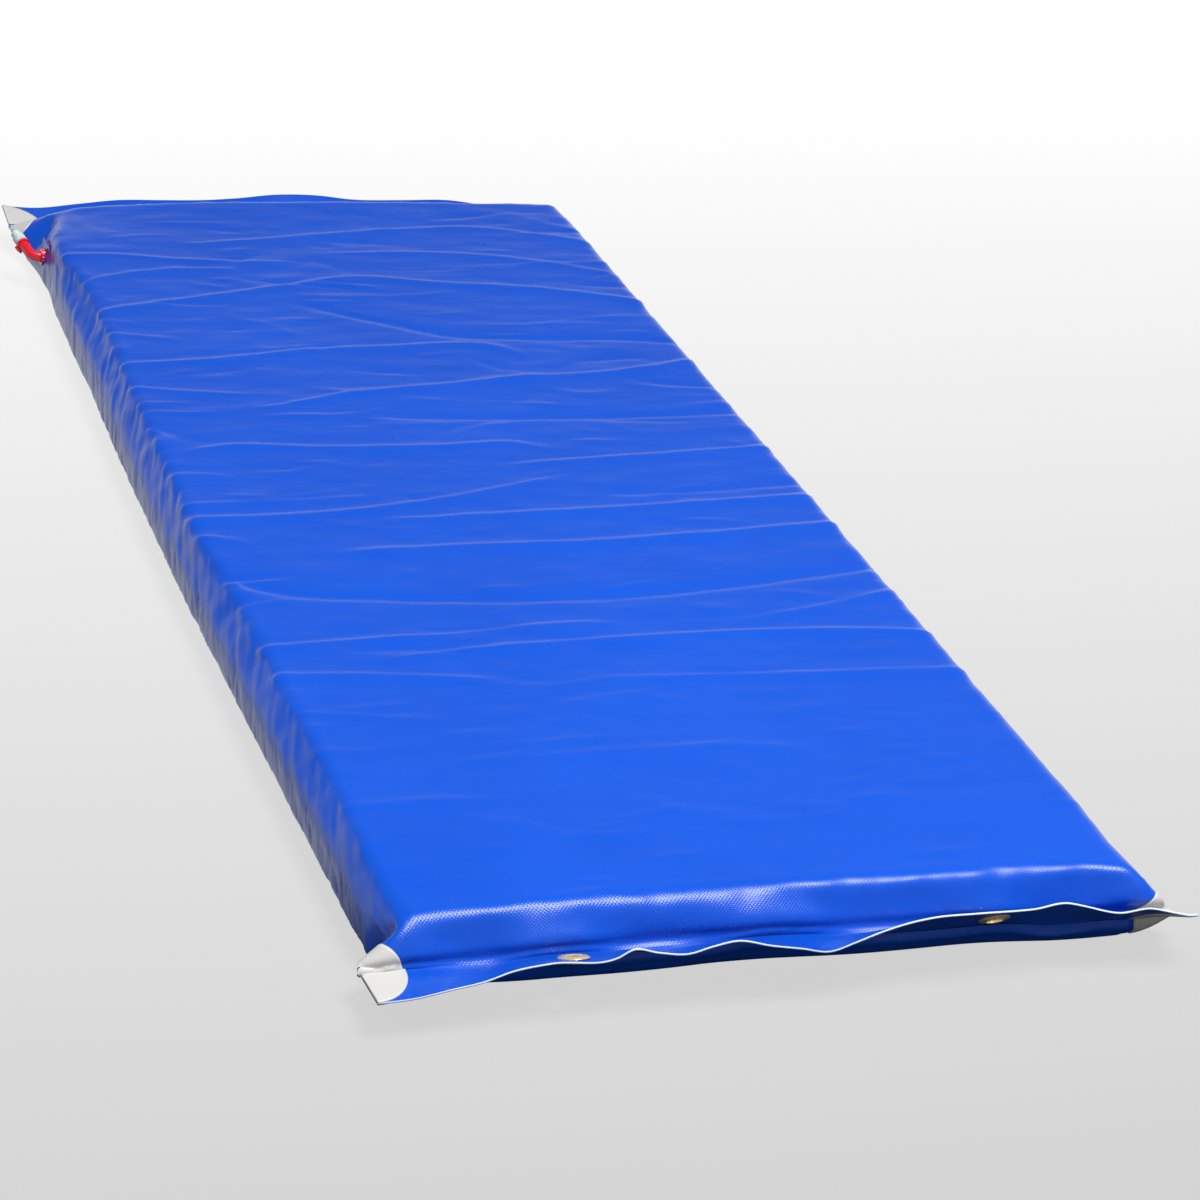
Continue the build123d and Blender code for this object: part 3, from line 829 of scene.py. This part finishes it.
def foam_piece():
    grid = foam_block()
    nr, nc = grid.shape[:2]
    i, j = np.meshgrid(np.arange(nr - 1), np.arange(nc), indexing="ij")
    k = (j + 1) % nc
    faces = np.stack([i * nc + j, i * nc + k, (i + 1) * nc + k, (i + 1) * nc + j], -1)
    faces = faces.reshape(-1, 4)[:, ::-1]
    piece = mesh_piece("foam_slab", grid, faces)
    work = bmesh.new()
    work.from_mesh(piece.data)
    bmesh.ops.holes_fill(work, edges=[e for e in work.edges if e.is_boundary], sides=0)
    bmesh.ops.recalc_face_normals(work, faces=work.faces)
    work.to_mesh(piece.data)
    work.free()
    return piece


foam = foam_piece()

for piece, nodes, slot in (
    (cover_top, ["top_sheet"], "cover"), (cover_base, ["base_sheet"], "cover"),
    (foot_flange, [], "cover"), (head_flange, [], "cover"),
    (foam, ["foam_core"], "foam"), *((o, [n], "patch") for n, o in patches.items()),
):
    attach(piece, "mat")
    if nodes:
        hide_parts(*nodes)


# ------------------------------------------------------------------ materials
def material(name, color, roughness, **inputs):
    m = bpy.data.materials.new(name)
    m.use_nodes = True
    tree = m.node_tree
    shader = tree.nodes["Principled BSDF"]
    shader.inputs["Base Color"].default_value = (*color, 1)
    shader.inputs["Roughness"].default_value = roughness
    for key, value in inputs.items():
        shader.inputs[key.replace("_", " ")].default_value = value
    return m, tree, shader


def node(tree, kind, **values):
    n = tree.nodes.new(kind)
    for key, value in values.items():
        if key in n.inputs:
            n.inputs[key].default_value = value
        else:
            setattr(n, key, value)
    return n


WEAVE_SCALE = 118.0  # threads 2.7 mm apart


def coated_cloth(name, color, deep, roughness, weave=0.16):
    """Vinyl-coated cloth: fine diagonal weave showing through a semi-gloss coat."""
    m, tree, shader = material(name, color, roughness)
    link = tree.links.new
    uv_node = node(tree, "ShaderNodeUVMap", uv_map="cloth")
    turn = node(tree, "ShaderNodeMapping")
    turn.inputs["Rotation"].default_value = (0, 0, math.radians(45))
    link(uv_node.outputs[0], turn.inputs[0])
    waves = []
    for axis in ("X", "Y"):
        w = node(tree, "ShaderNodeTexWave", bands_direction=axis)
        w.inputs["Scale"].default_value = WEAVE_SCALE
        link(turn.outputs[0], w.inputs["Vector"])
        waves.append(w)
    weave_mix = node(tree, "ShaderNodeMath", operation="MULTIPLY")
    link(waves[0].outputs["Fac"], weave_mix.inputs[0])
    link(waves[1].outputs["Fac"], weave_mix.inputs[1])
    place = node(tree, "ShaderNodeTexCoord")
    cloud = node(tree, "ShaderNodeTexNoise")
    cloud.inputs["Scale"].default_value = 6.0
    cloud.inputs["Detail"].default_value = 3.0
    link(place.outputs["Object"], cloud.inputs["Vector"])
    tone = node(tree, "ShaderNodeMix", data_type="RGBA")
    tone.inputs["A"].default_value = (*deep, 1)
    tone.inputs["B"].default_value = (*color, 1)
    spread = node(tree, "ShaderNodeMapRange")
    spread.inputs["From Min"].default_value = 0.3
    spread.inputs["From Max"].default_value = 0.65
    link(cloud.outputs["Fac"], spread.inputs["Value"])
    link(spread.outputs["Result"], tone.inputs["Factor"])
    link(tone.outputs["Result"], shader.inputs["Base Color"])
    smear = node(tree, "ShaderNodeTexNoise")
    smear.inputs["Scale"].default_value = 40.0
    smear.inputs["Detail"].default_value = 2.0
    link(place.outputs["Object"], smear.inputs["Vector"])
    rough = node(tree, "ShaderNodeMapRange")
    rough.inputs["To Min"].default_value = roughness - 0.05
    rough.inputs["To Max"].default_value = roughness + 0.07
    link(smear.outputs["Fac"], rough.inputs["Value"])
    link(rough.outputs["Result"], shader.inputs["Roughness"])
    bump = node(tree, "ShaderNodeBump")
    bump.inputs["Distance"].default_value = 0.0004
    lens = node(tree, "ShaderNodeCameraData")
    fade = node(tree, "ShaderNodeMapRange")
    fade.inputs["From Min"].default_value = 2.9
    fade.inputs["From Max"].default_value = 3.7
    fade.inputs["To Min"].default_value = weave
    fade.inputs["To Max"].default_value = weave * 0.3
    link(lens.outputs["View Distance"], fade.inputs["Value"])
    link(fade.outputs["Result"], bump.inputs["Strength"])
    link(weave_mix.outputs[0], bump.inputs["Height"])
    link(bump.outputs["Normal"], shader.inputs["Normal"])
    return m


blue = coated_cloth("blue_vinyl_cloth", (0.002, 0.062, 0.45), (0.0015, 0.056, 0.42), 0.29, 0.4)
pale = coated_cloth("pale_vinyl_cloth", (0.46, 0.455, 0.445), (0.42, 0.415, 0.405), 0.45)
cut_edge = coated_cloth("cut_cloth_edge", (0.52, 0.6, 0.78), (0.48, 0.56, 0.74), 0.6)
foam_look, foam_tree, foam_shader = material("open_cell_foam", (0.85, 0.8, 0.62), 0.9)
cells = node(foam_tree, "ShaderNodeTexVoronoi")
cells.inputs["Scale"].default_value = 900.0
foam_place = node(foam_tree, "ShaderNodeTexCoord")
foam_tree.links.new(foam_place.outputs["Object"], cells.inputs["Vector"])
foam_bump = node(foam_tree, "ShaderNodeBump")
foam_bump.inputs["Strength"].default_value = 0.5
foam_bump.inputs["Distance"].default_value = 0.0006
foam_tree.links.new(cells.outputs["Distance"], foam_bump.inputs["Height"])
foam_tree.links.new(foam_bump.outputs["Normal"], foam_shader.inputs["Normal"])


def speckled(name, color, roughness, scale, strength, **inputs):
    """Moulded or plated surface with a fine uneven gloss."""
    m, tree, shader = material(name, color, roughness, **inputs)
    place = node(tree, "ShaderNodeTexCoord")
    grain = node(tree, "ShaderNodeTexNoise")
    grain.inputs["Scale"].default_value = scale
    grain.inputs["Detail"].default_value = 4.0
    tree.links.new(place.outputs["Object"], grain.inputs["Vector"])
    rough = node(tree, "ShaderNodeMapRange")
    rough.inputs["To Min"].default_value = max(0.04, roughness - 0.08)
    rough.inputs["To Max"].default_value = roughness + 0.1
    tree.links.new(grain.outputs["Fac"], rough.inputs["Value"])
    tree.links.new(rough.outputs["Result"], shader.inputs["Roughness"])
    bump = node(tree, "ShaderNodeBump")
    bump.inputs["Strength"].default_value = strength
    bump.inputs["Distance"].default_value = 0.0003
    tree.links.new(grain.outputs["Fac"], bump.inputs["Height"])
    tree.links.new(bump.outputs["Normal"], shader.inputs["Normal"])
    return m


brass = speckled("brass", (0.95, 0.76, 0.42), 0.26, 300.0, 0.1, Metallic=0.7)
red = speckled("red_plastic", (0.6, 0.008, 0.02), 0.3, 250.0, 0.08, Coat_Weight=0.3)
white = speckled("white_plastic", (0.5, 0.56, 0.6), 0.3, 250.0, 0.06, Subsurface_Weight=0.15)
black = speckled("black_rubber", (0.02, 0.02, 0.02), 0.6, 400.0, 0.2)


def paint(obj, *looks):
    for look in looks:
        obj.data.materials.append(look)


paint(cover_top, blue)
paint(cover_base, blue)
paint(foot_flange, blue, cut_edge)
paint(head_flange, blue, cut_edge)
paint(foam, foam_look)
for o in patches.values():
    paint(o, pale)
looks = {
    "foot_eyelets": brass, "foot_washers": brass, "head_eyelets": brass,
    "head_washers": brass, "valve_doubler": blue, "valve_gasket": black,
    "valve_base": red, "valve_clamp_nut": red, "valve_elbow": red, "valve_seat": white,
    "valve_seal": black, "valve_mouthpiece": white,
}
for name, look in looks.items():
    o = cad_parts[name]
    if o.data.materials:
        for k in range(len(o.data.materials)):
            o.data.materials[k] = look
    else:
        o.data.materials.append(look)

# ------------------------------------------------------------------ stage, light, camera
FLOOR_REACH = 30.0
FLOOR_Z = -0.0005
floor_mesh = bpy.data.meshes.new("studio_floor")
floor_mesh.from_pydata(
    [(i * FLOOR_REACH, j * FLOOR_REACH, FLOOR_Z) for i, j in ((-1, -1), (1, -1), (1, 1), (-1, 1))],
    [], [(0, 1, 2, 3)],
)
floor = bpy.data.objects.new("studio_floor", floor_mesh)
bpy.context.scene.collection.objects.link(floor)
# painted light: the floor glows for camera and glossy rays instead of being lit, brighter towards
# the far side, which also fills in the mat's shadow on it
floor_look, floor_tree, floor_shader = material("studio_floor", (0.8, 0.8, 0.8), 0.9)
floor_shader.inputs["Specular IOR Level"].default_value = 0.0
floor_place = node(floor_tree, "ShaderNodeTexCoord")
floor_split = node(floor_tree, "ShaderNodeSeparateXYZ")
floor_painted_falloff = node(floor_tree, "ShaderNodeMapRange")
for key, value in (
    ("From Min", -1.9), ("From Max", 1.7), ("To Min", 0.61), ("To Max", 1.1)
):
    floor_painted_falloff.inputs[key].default_value = value
floor_tree.links.new(floor_place.outputs["Object"], floor_split.inputs[0])
floor_tree.links.new(floor_split.outputs["Y"], floor_painted_falloff.inputs["Value"])
floor_share = node(floor_tree, "ShaderNodeMath", operation="MULTIPLY")
floor_share.inputs[1].default_value = 0.06
floor_tree.links.new(floor_painted_falloff.outputs["Result"], floor_share.inputs[0])
floor_tree.links.new(floor_share.outputs[0], floor_shader.inputs["Base Color"])
floor_painted_glow = node(floor_tree, "ShaderNodeMath", operation="MULTIPLY")
floor_painted_glow.inputs[1].default_value = 0.84
floor_tree.links.new(floor_painted_falloff.outputs["Result"], floor_painted_glow.inputs[0])
floor_shader.inputs["Emission Color"].default_value = (1, 1, 1, 1)
floor_ray = node(floor_tree, "ShaderNodeLightPath")
# painted shade: in reflections the floor glows only beside and behind the mat and stays dark in
# front of the foot end
floor_reflection_shade = node(floor_tree, "ShaderNodeMapRange")
for key, value in (("From Min", -0.9), ("From Max", -0.7), ("To Min", 0.0), ("To Max", 1.1)):
    floor_reflection_shade.inputs[key].default_value = value
floor_tree.links.new(floor_split.outputs["Y"], floor_reflection_shade.inputs["Value"])
floor_mirror = node(floor_tree, "ShaderNodeMath", operation="MULTIPLY_ADD")
floor_tree.links.new(floor_ray.outputs["Is Glossy Ray"], floor_mirror.inputs[0])
floor_tree.links.new(floor_reflection_shade.outputs["Result"], floor_mirror.inputs[1])
floor_tree.links.new(floor_ray.outputs["Is Camera Ray"], floor_mirror.inputs[2])
floor_seen = node(floor_tree, "ShaderNodeMath", operation="MULTIPLY")
floor_tree.links.new(floor_painted_glow.outputs[0], floor_seen.inputs[0])
floor_tree.links.new(floor_mirror.outputs[0], floor_seen.inputs[1])
floor_tree.links.new(floor_seen.outputs[0], floor_shader.inputs["Emission Strength"])
floor_mesh.materials.append(floor_look)

world = bpy.context.scene.world or bpy.data.worlds.new("studio")
bpy.context.scene.world = world
world.use_nodes = True
sky = world.node_tree
sky_place = node(sky, "ShaderNodeTexCoord")
sky_split = node(sky, "ShaderNodeSeparateXYZ")
sky_ramp = node(sky, "ShaderNodeValToRGB")
sky.links.new(sky_place.outputs["Generated"], sky_split.inputs[0])
sky.links.new(sky_split.outputs["Z"], sky_ramp.inputs["Fac"])
sky.links.new(sky_ramp.outputs["Color"], sky.nodes["Background"].inputs["Color"])
sky_front = node(sky, "ShaderNodeMapRange")
for key, value in (("From Min", -0.5), ("From Max", 0.0), ("To Min", 0.3), ("To Max", 1.0)):
    sky_front.inputs[key].default_value = value
sky.links.new(sky_split.outputs["Y"], sky_front.inputs["Value"])
sky.links.new(sky_front.outputs["Result"], sky.nodes["Background"].inputs["Strength"])
stops = sky_ramp.color_ramp.elements
for k, (place, value) in enumerate([
    (0.0, 1.0), (1.0, 0.05), (0.25, 0.3), (0.35, 0.09), (0.46, 0.05), (0.53, 0.3), (0.62, 0.05),
]):
    stop = stops[k] if k < 2 else stops.new(place)
    stop.position = place
    stop.color = (value, value, value, 1)


def sun(name, toward, strength, spread):
    """Soft light from a wide disc of the sky, in the direction toward."""
    lamp = bpy.data.lights.new(name, "SUN")
    lamp.energy = strength
    lamp.angle = math.radians(spread)
    o = bpy.data.objects.new(name, lamp)
    bpy.context.scene.collection.objects.link(o)
    o.rotation_euler = Vector(toward).to_track_quat("Z", "Y").to_euler()
    return o


sun("key", (0.25, -0.12, 0.96), 2.7, 24)
sun("front", (-0.2, -0.62, 0.75), 1.45, 100).visible_glossy = False
panel_data = bpy.data.lights.new("panel", "AREA")
panel_data.energy = 57.0
panel_data.size = 1.2
panel = bpy.data.objects.new("panel", panel_data)
panel.location = (0.2, -1.2, 2.5)
panel.visible_glossy = False
bpy.context.scene.collection.objects.link(panel)
bpy.context.scene.view_settings.view_transform = "Standard"

# the photo's viewpoint: place in metres, then azimuth, elevation and roll in degrees
CAMERA_AT = (-1.20935, -3.45675, 1.68869)
CAMERA_TURN = (-21.61, 25.58, 7.31)
cam_data = bpy.data.cameras.new("camera")
cam_data.sensor_width = 36.0
cam_data.lens = 101.04
camera = bpy.data.objects.new("camera", cam_data)
bpy.context.scene.collection.objects.link(camera)
azimuth, elevation, roll = (math.radians(v) for v in CAMERA_TURN)
back = Vector((
    math.sin(azimuth) * math.cos(elevation), -math.cos(azimuth) * math.cos(elevation),
    math.sin(elevation),
))
right0 = Vector((math.cos(azimuth), math.sin(azimuth), 0))
up0 = back.cross(right0)
right = right0 * math.cos(roll) + up0 * math.sin(roll)
up = -right0 * math.sin(roll) + up0 * math.cos(roll)
turn = Matrix((right, up, back)).transposed()
camera.matrix_world = Matrix.Translation(Vector(CAMERA_AT)) @ turn.to_4x4()
bpy.context.scene.camera = camera
